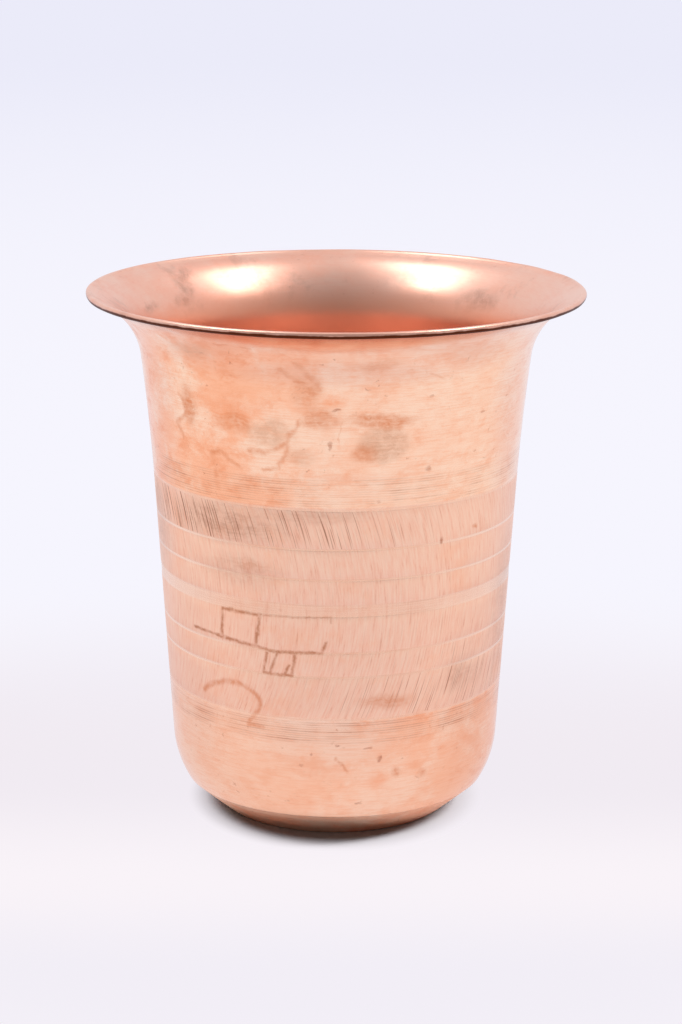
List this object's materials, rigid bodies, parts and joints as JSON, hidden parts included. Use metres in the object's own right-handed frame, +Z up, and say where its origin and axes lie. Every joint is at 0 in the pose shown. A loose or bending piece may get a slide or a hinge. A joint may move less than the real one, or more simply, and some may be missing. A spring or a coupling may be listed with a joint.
{
  "type": "copper water tumbler",
  "caption": "Straight-sided copper water tumbler with a gently tapering wall, a wide trumpet-flared mouth edged with a round bead, tooled bands round the middle and a bevelled foot.",
  "frame": {"origin": "centre of the foot, on the plane that the tumbler stands on", "axes": "+Z up along the vessel's axis, towards the mouth; +X to the right and +Y away from the viewer in the picture"},
  "size_m": [0.0932, 0.0932, 0.1],
  "materials": {
    "sheet_copper": "polished copper, hand tooled and stained",
    "bead_copper": "polished copper",
    "braze": "dull brazing brass"
  },
  "bodies": {
    "root": {"wall": "sheet_copper", "rim_bead": "bead_copper", "base_pan": "sheet_copper", "braze_fillet": "braze"}
  },
  "joints": []
}
